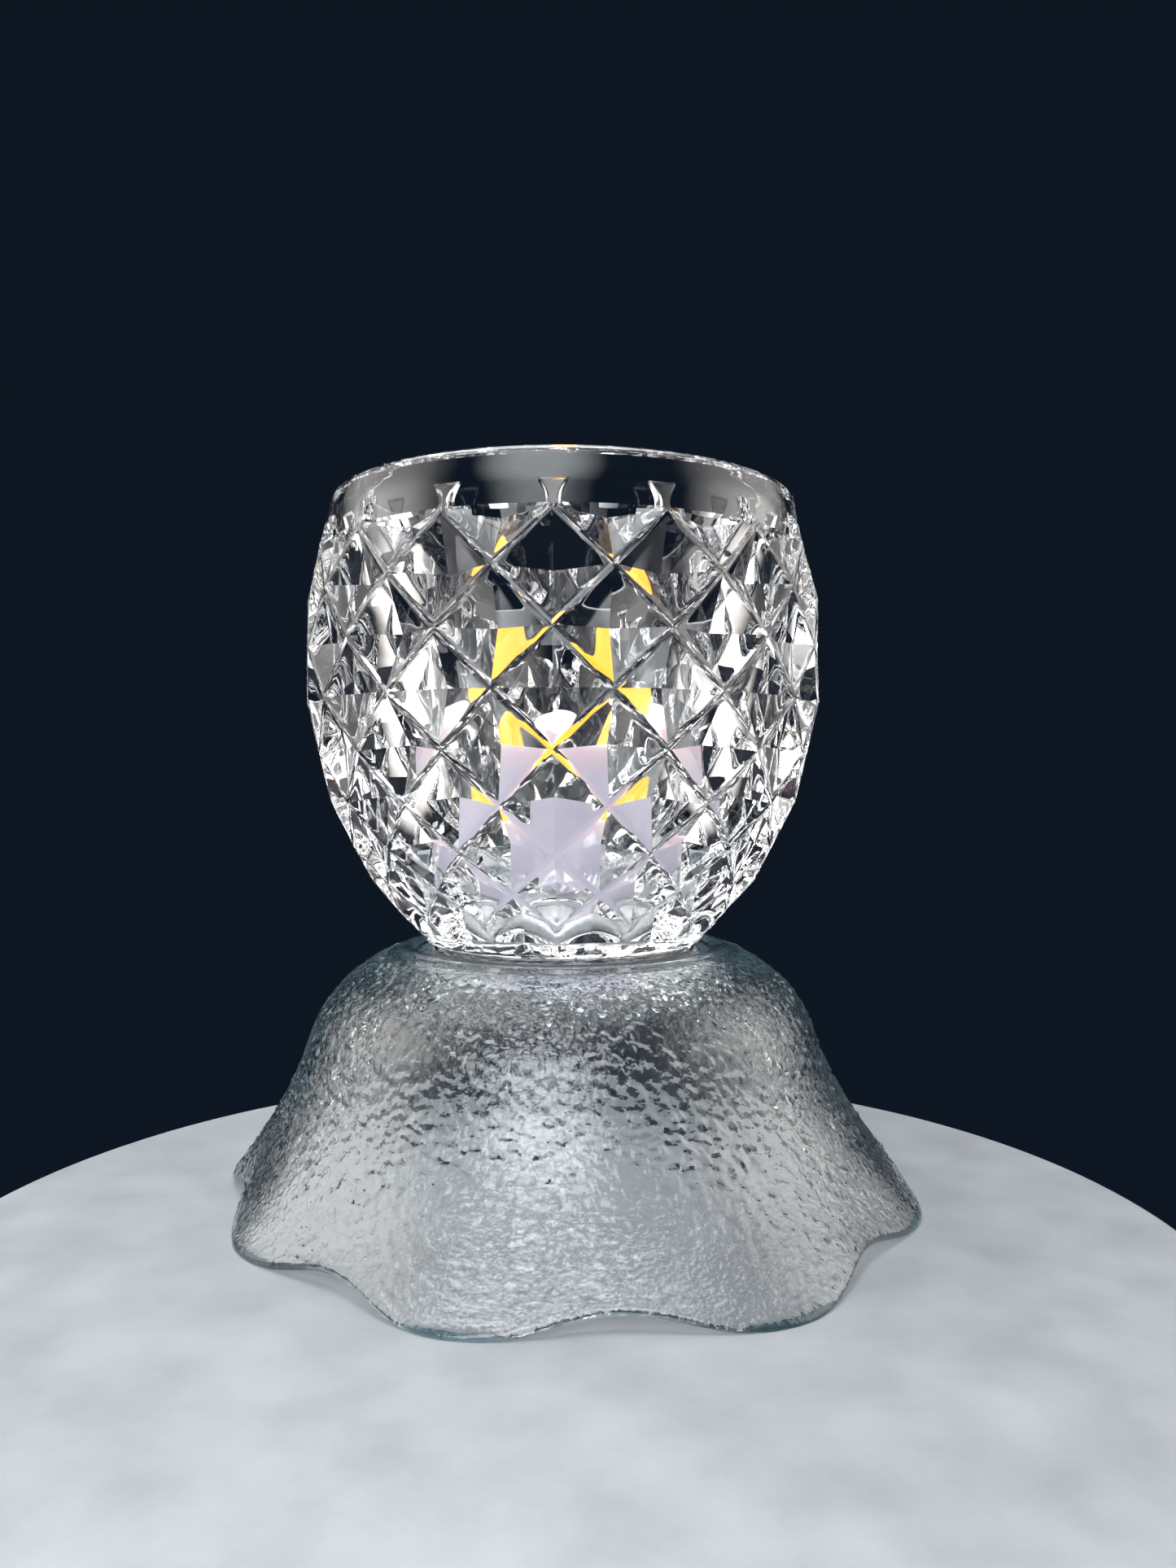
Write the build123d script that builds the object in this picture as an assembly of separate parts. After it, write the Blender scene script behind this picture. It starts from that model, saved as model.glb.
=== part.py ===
from build123d import *
import math
import os

# A tealight holder: a pressed-glass diamond-cut cup glued on an upturned glass
# dish with a ruffled edge, holding an electric tealight. Millimetres, +Z up,
# origin at the centre of the circle that the dish stands on.

os.makedirs("parts", exist_ok=True)

# ---------------------------------------------------------------- dish
DISH_HEIGHT = 49.6
DISH_TOP_R = 34.5
DISH_WALL = 3.6
LOBES = 9
LOBE_PHASE = 28.0  # degrees from the front towards +X, where one lobe points
LOBE_SWELL = 2.6  # how far a lobe stands out beyond the mean edge
EDGE_LIFT = 3.2  # how far the edge rises between two lobes
# The dish is ruffled by hand: how much further out each lobe reaches, in turn.
LOBE_REACH = (5.4, -0.8, -0.5, 0.5, 0.5, -1.5, -4.4, -3.2, 2.2)
RUFFLE_TOP_Z = 27.0  # above this height the wall is round
RING_R = 34.0  # the dish's own foot ring, now on top
RING_WIDTH = 2.6
RING_HEIGHT = 0.6

# Outside of the dish wall, (radius, height), from the shoulder to the edge.
DISH_PROFILE = [
    (DISH_TOP_R + 1.5, 49.4),
    (40.2, 47.8),
    (46.6, 43.1),
    (51.8, 36.2),
    (55.3, RUFFLE_TOP_Z),
    (58.6, 20.6),
    (63.6, 13.0),
    (69.2, 5.8),
    (74.0, 0.0),
]

# ---------------------------------------------------------------- glue and cup
GLUE_THICK = 1.4
GLUE_R = 27.0
CUP_BASE_Z = DISH_HEIGHT + GLUE_THICK
FOOT_R = 29.6
FOOT_HEIGHT = 1.6
CUP_HEIGHT = 94.0
CUP_RIM_Z = CUP_BASE_Z + CUP_HEIGHT
CUP_BELLY_R = 54.9  # the body is an ellipse of revolution, cut at foot and rim
CUP_BELLY_Z = CUP_BASE_Z + 60.5
CUP_HALF_HEIGHT = 70.8
RIM_BAND_R = 49.9
RIM_TOP_R = 48.3
RIM_BAND_Z = CUP_RIM_Z - 6.8
FIRST_ROW_Z = CUP_RIM_Z - 11.9
DIAMONDS_AROUND = 16
DIAMOND_ROWS = 8
DIAMOND_DEPTH = 3.6  # pocket depth below its rim, at the belly
DIAMOND_PHASE = -1.0  # degrees
RIDGE_INSET = 0.045  # half the ridge's share of a diamond's half width
CUTTER_REACH = 4.0
TAB_HALF_ANGLE = 3.4  # degrees, half width of a top tab at its flared end

CUP_FLOOR_Z = CUP_BASE_Z + 6.0
# Inside of the cup, (radius, height above its floor), up to the rim.
CUP_INSIDE = [
    (18.8, 0.0),
    (25.0, 2.6),
    (31.2, 9.4),
    (35.4, 18.4),
    (38.3, 27.4),
    (40.6, 42.4),
    (42.4, 60.4),
    (43.6, 76.4),
    (44.1, CUP_RIM_Z - CUP_FLOOR_Z - 2.2),
]

# ---------------------------------------------------------------- tealight
SHELL_R = 18.0
SHELL_TOP_R = 17.5
SHELL_HEIGHT = 32.4
SHELL_WALL = 1.3
DECK_Z = 27.8  # underside of the imitation wax pool
DECK_THICK = 1.3
PLATE_Z = 0.8  # the base plate is set back from the shell's lower edge
PLATE_THICK = 1.8
PLATE_R = SHELL_R - SHELL_WALL
PLATE_STOP_R = PLATE_R - 0.9  # the shell narrows here, and the plate stops on it
PLATE_GAP = 0.1

FLAME_HEIGHT = 59.4
FLAME_HOLE_R = 4.6
FLAME_FLANGE_R = 6.4
LED_R = 2.5
LED_Z = 20.8
LEAD_SPACING = 2.54
LEAD_R = 0.25

CELL_R = 10.0
CELL_HEIGHT = 3.2
POCKET_R = 10.4
POCKET_TOP_Z = 9.2
DOOR_R = 11.4
DOOR_SEAT_R = 11.7
DOOR_LEDGE_Z = 2.0
DOOR_GROOVE_Z = 3.2
DOOR_GROOVE_TOP_Z = 4.6
DOOR_HUB_R = 10.1
DOOR_TAB_R = 11.3
DOOR_TAB_SPAN = 26.0  # degrees each tab covers
DOOR_TWIST = 30.0
CELL_Z = 4.7
CELL_TOP_Z = CELL_Z + CELL_HEIGHT

SWITCH_X = 13.9
SWITCH_TRAVEL = 2.5
SWITCH_NUB = (1.2, 2.6)
SWITCH_HEAD = (2.0, 4.4, 1.0)
SWITCH_GAP = 0.15
CONTACT_THICK = 0.3
CONTACT_WIDTH = 4.0


def polar(radius, degrees, z):
    """A point at an angle counted from the front (-Y) towards +X."""
    turn = math.radians(degrees)
    return Vector(radius * math.sin(turn), -radius * math.cos(turn), z)


def turned(points):
    """Solid of revolution from a closed outline of (radius, z) corners."""
    outline = Polyline(*[(r, 0, z) for r, z in points], close=True)
    return revolve(make_face(outline), Axis.Z)


def ring(r_out, r_in, z_low, z_high):
    return turned([(r_in, z_low), (r_out, z_low), (r_out, z_high), (r_in, z_high)])


def disc(radius, z_low, z_high):
    return turned([(0, z_low), (radius, z_low), (radius, z_high), (0, z_high)])


def block(size_x, size_y, z_low, z_high, x=0.0, y=0.0):
    return Pos(x, y, (z_low + z_high) / 2) * Box(size_x, size_y, z_high - z_low)


def polyhedron(points, faces):
    """Solid with flat triangular faces, each a triple of point indices."""
    triangles = [
        Face(Wire.make_polygon([points[i] for i in face], close=True)) for face in faces
    ]
    return Solid(Shell(triangles))


# ---------------------------------------------------------------- dish
def ruffle(z):
    """How much of the edge's ruffle the wall shows at a height, from 0 to 1."""
    share = max(0.0, 1 - z / RUFFLE_TOP_Z)
    return share * share


def lobe_reach(angle):
    """Reach of the edge at an angle, eased from one lobe's to the next."""
    turn = (angle - LOBE_PHASE) * LOBES / 360
    lobe = math.floor(turn)
    share = 0.5 - 0.5 * math.cos(math.pi * (turn - lobe))
    return LOBE_REACH[lobe % LOBES] * (1 - share) + LOBE_REACH[(lobe + 1) % LOBES] * share


def wavy_loop(radius, z, amount):
    """Closed curve round the dish at one height."""
    points = []
    count = LOBES * 8
    for i in range(count):
        angle = 360 * i / count
        lobe = math.cos(math.radians(LOBES * (angle - LOBE_PHASE)))
        points.append(polar(radius + amount * (LOBE_SWELL * lobe + lobe_reach(angle)), angle, z))
    return Wire(Spline(*points, periodic=True))


def offset_inwards(profile, distance):
    """The profile moved along its own normals, towards the dish's hollow."""
    moved = []
    for i, (r, z) in enumerate(profile):
        r0, z0 = profile[max(i - 1, 0)]
        r1, z1 = profile[min(i + 1, len(profile) - 1)]
        length = math.hypot(r1 - r0, z1 - z0)
        moved.append((r + distance * (z1 - z0) / length, z - distance * (r1 - r0) / length))
    return moved


def make_dish():
    outer = [wavy_loop(DISH_TOP_R, DISH_HEIGHT, 0)]
    outer += [wavy_loop(r, z, ruffle(z)) for r, z in DISH_PROFILE]
    body = Solid.make_loft(outer)

    inside = offset_inwards(DISH_PROFILE, DISH_WALL)
    inner = [wavy_loop(DISH_TOP_R - 2, DISH_HEIGHT - DISH_WALL, 0)]
    inner += [wavy_loop(r, z, ruffle(max(z, 0))) for r, z in inside[1:]]
    last_r, last_z = inside[-1]
    inner.append(wavy_loop(last_r + 3, last_z - 3, 1))
    body -= Solid.make_loft(inner)

    # Between two lobes the edge arches up off the table.
    span = 0.42 * 2 * math.pi * DISH_PROFILE[-1][0] / LOBES
    arch_r = (span**2 + EDGE_LIFT**2) / (2 * EDGE_LIFT)
    arch = Pos(0, -DISH_PROFILE[-1][0], EDGE_LIFT - arch_r) * Rot(90, 0, 0) * Cylinder(arch_r, 60)
    for i in range(LOBES):
        body -= Rot(0, 0, LOBE_PHASE + (i + 0.5) * 360 / LOBES) * arch

    bead = [(RING_R - RING_WIDTH / 2, DISH_HEIGHT - 0.5), (RING_R + RING_WIDTH / 2, DISH_HEIGHT - 0.5)]
    bead += [(RING_R + RING_WIDTH / 4, DISH_HEIGHT + RING_HEIGHT)]
    bead += [(RING_R - RING_WIDTH / 4, DISH_HEIGHT + RING_HEIGHT)]
    return body + turned(bead)


# ---------------------------------------------------------------- cup
def cup_radius(z):
    """Radius of the cup's body, over the ridges, at a height."""
    return CUP_BELLY_R * math.sqrt(1 - ((z - CUP_BELLY_Z) / CUP_HALF_HEIGHT) ** 2)


def diamond_rows():
    """Heights of the ridge crossings, a diamond's half width apart down the body."""
    rows = [FIRST_ROW_Z]
    for _ in range(DIAMOND_ROWS):
        step = cup_radius(rows[-1]) * math.pi / DIAMONDS_AROUND
        middle = rows[-1] - step / 2
        slope = (cup_radius(middle + 0.1) - cup_radius(middle - 0.1)) / 0.2
        rows.append(rows[-1] - step / math.hypot(1, slope))
    return rows


def outward(angle, z):
    """Unit normal of the cup's body."""
    slope = (cup_radius(z + 0.1) - cup_radius(z - 0.1)) / 0.2
    return (polar(1, angle, 0) - Vector(0, 0, slope)).normalized()


def crossing(rows, half_steps, row):
    """Where two ridges cross, counted in half diamonds round the cup."""
    angle = DIAMOND_PHASE + half_steps * 180 / DIAMONDS_AROUND
    return polar(cup_radius(rows[row]), angle, rows[row])


def diamond_cutter(rows, half_steps, row):
    """Four-sided pyramid that sinks one diamond-shaped pocket into the cup."""
    corners = [
        crossing(rows, half_steps - 1, row),
        crossing(rows, half_steps, row + 1),
        crossing(rows, half_steps + 1, row),
        crossing(rows, half_steps, row - 1),
    ]
    middle = (corners[0] + corners[1] + corners[2] + corners[3]) / 4
    normal = outward(DIAMOND_PHASE + half_steps * 180 / DIAMONDS_AROUND, rows[row])
    depth = DIAMOND_DEPTH * cup_radius(rows[row]) / CUP_BELLY_R
    apex = middle - normal * depth
    inset = [corner + (middle - corner) * RIDGE_INSET for corner in corners]
    reach = 1 + CUTTER_REACH / depth
    spread = [apex + (corner - apex) * reach for corner in inset]
    return polyhedron([apex] + spread, [(0, 2, 1), (0, 3, 2), (0, 4, 3), (0, 1, 4), (1, 2, 3), (1, 3, 4)])


def top_cutter(rows, half_steps):
    """Half pyramid under the rim band, opening upwards between two tabs."""
    left = crossing(rows, half_steps - 1, 0)
    right = crossing(rows, half_steps + 1, 0)
    low = crossing(rows, half_steps, 1)
    angle = DIAMOND_PHASE + half_steps * 180 / DIAMONDS_AROUND
    half_width = 180 / DIAMONDS_AROUND - TAB_HALF_ANGLE
    middle = polar(RIM_BAND_R - 0.6, angle, rows[0])
    inset = [corner + (middle - corner) * RIDGE_INSET * 2 for corner in (left, low, right)]
    reach = 1 + CUTTER_REACH / (cup_radius(rows[0]) - RIM_BAND_R)
    spread = [middle + (corner - middle) * reach for corner in inset]
    z = RIM_BAND_Z + 0.5
    upper = [polar(RIM_BAND_R - 0.1, angle + side * half_width * 0.8, z) for side in (-1, 1)]
    outer = [polar(CUP_BELLY_R + 2, angle + side * half_width, z) for side in (-1, 1)]
    points = [middle] + spread + upper + outer
    faces = [(0, 2, 1), (0, 3, 2), (0, 1, 4), (1, 6, 4), (0, 4, 5), (0, 5, 3), (3, 5, 7)]
    faces += [(4, 6, 7), (4, 7, 5), (1, 2, 6), (2, 7, 6), (2, 3, 7)]
    return polyhedron(points, faces)


def make_cup():
    top_z = RIM_BAND_Z
    low_z = CUP_BASE_Z + FOOT_HEIGHT
    body_heights = [low_z + i * (top_z - low_z) / 12 for i in range(13)]
    side = Spline(*[(cup_radius(z), 0, z) for z in body_heights])
    start = side @ 0
    end = side @ 1
    outline = [
        Line((0, 0, CUP_BASE_Z), (FOOT_R - 1, 0, CUP_BASE_Z)),
        Line((FOOT_R - 1, 0, CUP_BASE_Z), (FOOT_R, 0, CUP_BASE_Z + 0.6)),
        Line((FOOT_R, 0, CUP_BASE_Z + 0.6), start),
        side,
        Line(end, (0, 0, top_z)),
        Line((0, 0, top_z), (0, 0, CUP_BASE_Z)),
    ]
    body = revolve(make_face(outline), Axis.Z)

    rows = diamond_rows()
    body = body.solid()
    for row in range(1, DIAMOND_ROWS):
        columns = [2 * column + (row + 1) % 2 for column in range(DIAMONDS_AROUND)]
        body = body.cut(*[diamond_cutter(rows, column, row) for column in columns])
    body = body.cut(*[top_cutter(rows, 2 * column + 1) for column in range(DIAMONDS_AROUND)])

    rim_edge = (RIM_TOP_R - CUP_INSIDE[-1][0]) / 2
    rim_centre = (RIM_TOP_R + CUP_INSIDE[-1][0]) / 2
    shoulder_z = CUP_RIM_Z - 2.2
    band = [
        Line((0, 0, top_z), (RIM_BAND_R, 0, top_z)),
        Line((RIM_BAND_R, 0, top_z), (RIM_TOP_R, 0, shoulder_z)),
        ThreePointArc(
            (RIM_TOP_R, 0, shoulder_z),
            (rim_centre, 0, CUP_RIM_Z),
            (rim_centre - rim_edge, 0, shoulder_z),
        ),
        Line((rim_centre - rim_edge, 0, shoulder_z), (0, 0, shoulder_z)),
        Line((0, 0, shoulder_z), (0, 0, top_z)),
    ]
    body += revolve(make_face(band), Axis.Z)

    wall = Spline(*[(r, 0, CUP_FLOOR_Z + h) for r, h in CUP_INSIDE], tangents=((1, 0, 0), (0, 0, 1)))
    hollow = [
        Line((0, 0, CUP_FLOOR_Z), wall @ 0),
        wall,
        Line(wall @ 1, (0, 0, shoulder_z)),
        Line((0, 0, shoulder_z), (0, 0, CUP_FLOOR_Z)),
    ]
    return body - revolve(make_face(hollow), Axis.Z)


# ---------------------------------------------------------------- tealight
# These parts are drawn on their own base plane and lifted on to the cup's floor.
def make_shell():
    outside = turned(
        [
            (0, 0),
            (SHELL_R - 0.4, 0),
            (SHELL_R, 0.4),
            (SHELL_TOP_R, SHELL_HEIGHT - 0.6),
            (SHELL_TOP_R - 0.6, SHELL_HEIGHT),
            (SHELL_TOP_R - 1.2, SHELL_HEIGHT - 0.4),
            (SHELL_TOP_R - 2.0, DECK_Z + DECK_THICK + 1.2),
            (SHELL_TOP_R - 5.0, DECK_Z + DECK_THICK),
            (0, DECK_Z + DECK_THICK),
        ]
    )
    plate_top = PLATE_Z + PLATE_THICK
    hollow = turned(
        [
            (0, -1),
            (PLATE_R, -1),
            (PLATE_R, plate_top),
            (PLATE_STOP_R, plate_top),
            (SHELL_TOP_R - SHELL_WALL - 0.6, DECK_Z),
            (0, DECK_Z),
        ]
    )
    return outside - hollow - disc(FLAME_HOLE_R, DECK_Z - 1, SHELL_HEIGHT)


def make_flame():
    """Hollow imitation flame, its flange caught under the deck."""
    flange_z = DECK_Z - 1.2
    neck_z = DECK_Z + DECK_THICK + 0.6
    belly_r = 5.4
    neck_r = FLAME_HOLE_R - 0.15
    tip_r = 0.5
    side = Spline(
        (neck_r, 0, neck_z),
        (belly_r, 0, neck_z + 6.5),
        (belly_r * 0.72, 0, FLAME_HEIGHT - 11),
        (tip_r, 0, FLAME_HEIGHT),
        tangents=((0.3, 0, 1), (-0.16, 0, 1)),
    )
    outline = [
        Line((0, 0, flange_z), (FLAME_FLANGE_R, 0, flange_z)),
        Line((FLAME_FLANGE_R, 0, flange_z), (FLAME_FLANGE_R, 0, DECK_Z)),
        Line((FLAME_FLANGE_R, 0, DECK_Z), (neck_r, 0, DECK_Z)),
        Line((neck_r, 0, DECK_Z), (neck_r, 0, neck_z)),
        side,
        Line((tip_r, 0, FLAME_HEIGHT), (0, 0, FLAME_HEIGHT)),
        Line((0, 0, FLAME_HEIGHT), (0, 0, flange_z)),
    ]
    solid = revolve(make_face(outline), Axis.Z)
    bore_r = LED_R + 0.4
    cone_top = FLAME_HEIGHT - 14
    bore = turned([(0, flange_z - 1), (bore_r, flange_z - 1), (bore_r, neck_z + 4), (1.2, cone_top), (0, cone_top)])
    return solid - bore


def make_led():
    """5 mm lamp with its two leads cast in."""
    body = disc(LED_R + 0.35, LED_Z, LED_Z + 1.0) + disc(LED_R, LED_Z + 1.0, LED_Z + 6.2)
    dome = Pos(0, 0, LED_Z + 6.2) * Sphere(LED_R)
    body += dome & disc(LED_R + 1, LED_Z + 6.2, LED_Z + 9.2)
    for side in (-1, 1):
        lead = Pos(side * LEAD_SPACING / 2, 0, (LED_Z + POCKET_TOP_Z + 1.6) / 2)
        body += lead * Cylinder(LEAD_R, LED_Z - POCKET_TOP_Z - 1.2)
    return body


def make_base_plate():
    """Lower cover with the cell's pocket, the door's bayonet and the switch slot."""
    plate_top = PLATE_Z + PLATE_THICK
    pocket_out = DOOR_SEAT_R + 0.9
    plate = disc(PLATE_R - PLATE_GAP, PLATE_Z, plate_top - PLATE_GAP / 2)
    plate += disc(pocket_out, PLATE_Z, POCKET_TOP_Z)
    plate -= disc(DOOR_SEAT_R, PLATE_Z - 1, DOOR_LEDGE_Z)
    plate -= disc(POCKET_R, DOOR_LEDGE_Z, POCKET_TOP_Z + 1)
    plate -= ring(DOOR_SEAT_R, POCKET_R - 0.5, DOOR_GROOVE_Z, DOOR_GROOVE_TOP_Z)
    for turn in (0, 180):
        notch = wedge_ring(POCKET_R - 0.5, DOOR_TAB_R + 0.2, DOOR_LEDGE_Z, DOOR_GROOVE_Z, DOOR_TAB_SPAN + 4)
        plate -= Rot(0, 0, turn + DOOR_TWIST) * notch
    slot_y = SWITCH_NUB[1] + SWITCH_TRAVEL + 2 * SWITCH_GAP
    slot_x = SWITCH_NUB[0] + 2 * SWITCH_GAP
    plate -= block(slot_x, slot_y, PLATE_Z - 1, plate_top + 1, SWITCH_X, SWITCH_TRAVEL / 2)
    # Opening for the cell's side contact, and a flat for its foot.
    plate -= block(1.4, CONTACT_WIDTH + 0.4, CELL_Z, POCKET_TOP_Z + 1, POCKET_R + 0.2, 0)
    return plate


def wedge_ring(r_in, r_out, z_low, z_high, span):
    """Part of a ring, symmetric about the +X axis."""
    full = ring(r_out, r_in, z_low, z_high)
    far = 2 * r_out
    half = math.radians(span / 2)
    sector = Polyline((0, 0), (far, -far * math.tan(half)), (far, far * math.tan(half)), close=True)
    height = z_high - z_low + 2
    return full & (Pos(0, 0, z_low - 1) * extrude(make_face(sector), height))


def make_battery_door():
    """Round twist-lock door with a coin slot and two bayonet tabs."""
    door = disc(DOOR_R, PLATE_Z, DOOR_LEDGE_Z - 0.1)
    door += disc(DOOR_HUB_R, DOOR_LEDGE_Z - 0.1, CELL_Z - 0.1)
    tab_low = DOOR_GROOVE_Z + 0.15
    for turn in (0, 180):
        tab = wedge_ring(DOOR_HUB_R - 0.6, DOOR_TAB_R, tab_low, DOOR_GROOVE_TOP_Z - 0.15, DOOR_TAB_SPAN)
        door += Rot(0, 0, turn) * tab
    return door - block(13, 1.5, PLATE_Z - 1, PLATE_Z + 0.7)


def make_coin_cell():
    can = disc(CELL_R, CELL_Z, CELL_TOP_Z - 0.35)
    return can + disc(CELL_R - 1.3, CELL_TOP_Z - 0.35, CELL_TOP_Z)


def make_negative_contact():
    """Leaf that bears on the cell's small pole and carries one lead."""
    leaf_top = POCKET_TOP_Z + CONTACT_THICK
    leaf = block(9.0, CONTACT_WIDTH, POCKET_TOP_Z, leaf_top, -(POCKET_R - 2.5), 0)
    leaf += block(CONTACT_THICK, CONTACT_WIDTH, CELL_TOP_Z, leaf_top, -(POCKET_R - 6.85), 0)
    leaf += block(4.2, CONTACT_WIDTH, CELL_TOP_Z, CELL_TOP_Z + CONTACT_THICK, -1.6, 0)
    return leaf + block(0.9, 0.9, CELL_TOP_Z, POCKET_TOP_Z + 2.2, -LEAD_SPACING / 2 - 0.7, 0)


def make_positive_contact():
    """Strip down the side of the cell, over the pocket's wall to the switch."""
    inner_x = CELL_R + 0.05
    side = block(CONTACT_THICK, CONTACT_WIDTH, CELL_Z + 0.2, POCKET_TOP_Z + 1.2, inner_x + CONTACT_THICK / 2, 0)
    top_z = POCKET_TOP_Z + 1.2
    side += block(8.6, CONTACT_WIDTH, top_z, top_z + CONTACT_THICK, inner_x - 4.0, 0)
    side += block(5.1, 1.6, top_z, top_z + CONTACT_THICK, inner_x + 2.4, 0)
    return side


def make_switch_slider():
    """Slide switch knob: a nub through the slot under a wider head."""
    plate_top = PLATE_Z + PLATE_THICK
    head_low = plate_top + SWITCH_GAP
    head = block(SWITCH_HEAD[0], SWITCH_HEAD[1], head_low, head_low + SWITCH_HEAD[2], SWITCH_X, 0)
    nub = block(SWITCH_NUB[0], SWITCH_NUB[1], 0.35, head_low, SWITCH_X, 0)
    return head + nub


def main():
    glass = {
        "ruffled_base": make_dish(),
        "adhesive_joint": disc(GLUE_R, DISH_HEIGHT, CUP_BASE_Z),
        "candle_cup": make_cup(),
    }
    tealight = {
        "tealight_shell": make_shell(),
        "flame_lens": make_flame(),
        "led_lamp": make_led(),
        "base_plate": make_base_plate(),
        "battery_door": make_battery_door(),
        "coin_cell": make_coin_cell(),
        "contact_negative": make_negative_contact(),
        "contact_positive": make_positive_contact(),
        "switch_slider": make_switch_slider(),
    }
    lift = Pos(0, 0, CUP_FLOOR_Z)
    for name, solid in glass.items():
        export_step(solid, f"parts/{name}.step")
    for name, solid in tealight.items():
        export_step(lift * solid, f"parts/{name}.step")


main()
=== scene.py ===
import math

import bmesh
import bpy
import numpy as np
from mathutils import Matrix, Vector, noise


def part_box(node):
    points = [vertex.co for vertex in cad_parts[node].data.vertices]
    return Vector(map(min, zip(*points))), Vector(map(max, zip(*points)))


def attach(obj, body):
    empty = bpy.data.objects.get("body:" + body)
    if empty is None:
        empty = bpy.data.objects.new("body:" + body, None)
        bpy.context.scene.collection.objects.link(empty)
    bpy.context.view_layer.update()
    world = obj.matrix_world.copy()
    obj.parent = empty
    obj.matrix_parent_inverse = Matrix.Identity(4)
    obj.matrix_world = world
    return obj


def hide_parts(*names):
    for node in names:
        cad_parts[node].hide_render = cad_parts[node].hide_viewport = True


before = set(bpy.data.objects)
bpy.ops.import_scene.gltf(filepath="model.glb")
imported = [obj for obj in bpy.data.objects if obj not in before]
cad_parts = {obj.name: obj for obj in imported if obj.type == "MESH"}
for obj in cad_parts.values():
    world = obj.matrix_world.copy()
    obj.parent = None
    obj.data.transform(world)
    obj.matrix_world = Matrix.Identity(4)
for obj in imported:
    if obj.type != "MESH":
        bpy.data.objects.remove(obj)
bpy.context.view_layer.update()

# Looks of a tealight holder: a diamond-cut glass cup glued on an upturned ruffled
# glass dish, with a lit electric tealight inside. Shapes are drawn in millimetres
# in the frame's own axes and scaled to metres when their meshes are made.
MM = 0.001


def node_box(node):
    """Lowest and highest corner of a CAD node, in millimetres."""
    low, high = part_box(node)
    return low / MM, high / MM


CUP_LOW, CUP_HIGH = node_box("candle_cup")
SHELL_LOW, SHELL_HIGH = node_box("tealight_shell")
FLAME_LOW, FLAME_HIGH = node_box("flame_lens")
GLUE_LOW, GLUE_HIGH = node_box("adhesive_joint")


# ---------------------------------------------------------------- mesh helpers
def around(radius, angle, z):
    """A point at an angle in radians from the front (-Y) towards +X."""
    return (radius * math.sin(angle), -radius * math.cos(angle), z)


def make_object(name, points, faces, material, body, sharp_degrees=None):
    """Object from points in millimetres; smooth but for edges over an angle."""
    mesh = bpy.data.meshes.new(name)
    mesh.from_pydata([tuple(c * MM for c in p) for p in points], [], faces)
    mesh.validate()
    edit = bmesh.new()
    edit.from_mesh(mesh)
    bmesh.ops.remove_doubles(edit, verts=edit.verts, dist=1e-6)
    bmesh.ops.recalc_face_normals(edit, faces=edit.faces)
    edit.to_mesh(mesh)
    edit.free()
    mesh.polygons.foreach_set("use_smooth", [True] * len(mesh.polygons))
    if sharp_degrees:
        mesh.set_sharp_from_angle(angle=math.radians(sharp_degrees))
    mesh.materials.append(material)
    thing = bpy.data.objects.new(name, mesh)
    bpy.context.scene.collection.objects.link(thing)
    if body:
        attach(thing, body)
    return thing


def bridge(faces, lower, upper):
    """Quads between two closed loops of point numbers."""
    count = len(lower)
    for i in range(count):
        j = (i + 1) % count
        faces.append((lower[i], lower[j], upper[j], upper[i]))


def smooth_path(points, steps):
    """Catmull-Rom curve through points, with a number of steps between each two."""
    p = np.array(points, float)
    path = []
    for i in range(len(p) - 1):
        before, start, end = p[max(i - 1, 0)], p[i], p[i + 1]
        after = p[min(i + 2, len(p) - 1)]
        for k in range(steps):
            t = k / steps
            bend = 2 * before - 5 * start + 4 * end - after
            path.append(
                0.5 * (2 * start + (end - before) * t + bend * t * t
                       + (3 * start - before - 3 * end + after) * t**3)
            )
    path.append(p[-1])
    return [tuple(point) for point in path]


def lathe(name, profile, material, body, segments=128, shape=None, sharp_degrees=35):
    """Turned piece from (radius, z) points that start and end on the axis. shape
    can move a point: it takes radius, angle and z and returns the three changed."""
    points = []
    faces = []
    loops = []
    for radius, z in profile:
        if radius < 1e-6:
            loops.append([len(points)])
            points.append((0.0, 0.0, z))
            continue
        loop = []
        for i in range(segments):
            angle = 2 * math.pi * i / segments
            r, a, height = shape(radius, angle, z) if shape else (radius, angle, z)
            loop.append(len(points))
            points.append(around(r, a, height))
        loops.append(loop)
    for lower, upper in zip(loops, loops[1:]):
        if len(lower) == 1:
            faces += [(lower[0], upper[(i + 1) % segments], upper[i]) for i in range(segments)]
        elif len(upper) == 1:
            faces += [(lower[i], lower[(i + 1) % segments], upper[0]) for i in range(segments)]
        else:
            bridge(faces, lower, upper)
    return make_object(name, points, faces, material, body, sharp_degrees)


# ---------------------------------------------------------------- materials
def new_material(name, **inputs):
    """Principled material; inputs are named with underscores for spaces."""
    made = bpy.data.materials.new(name)
    made.use_nodes = True
    shader = made.node_tree.nodes["Principled BSDF"]
    for key, value in inputs.items():
        shader.inputs[key.replace("_", " ")].default_value = value
    return made


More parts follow.
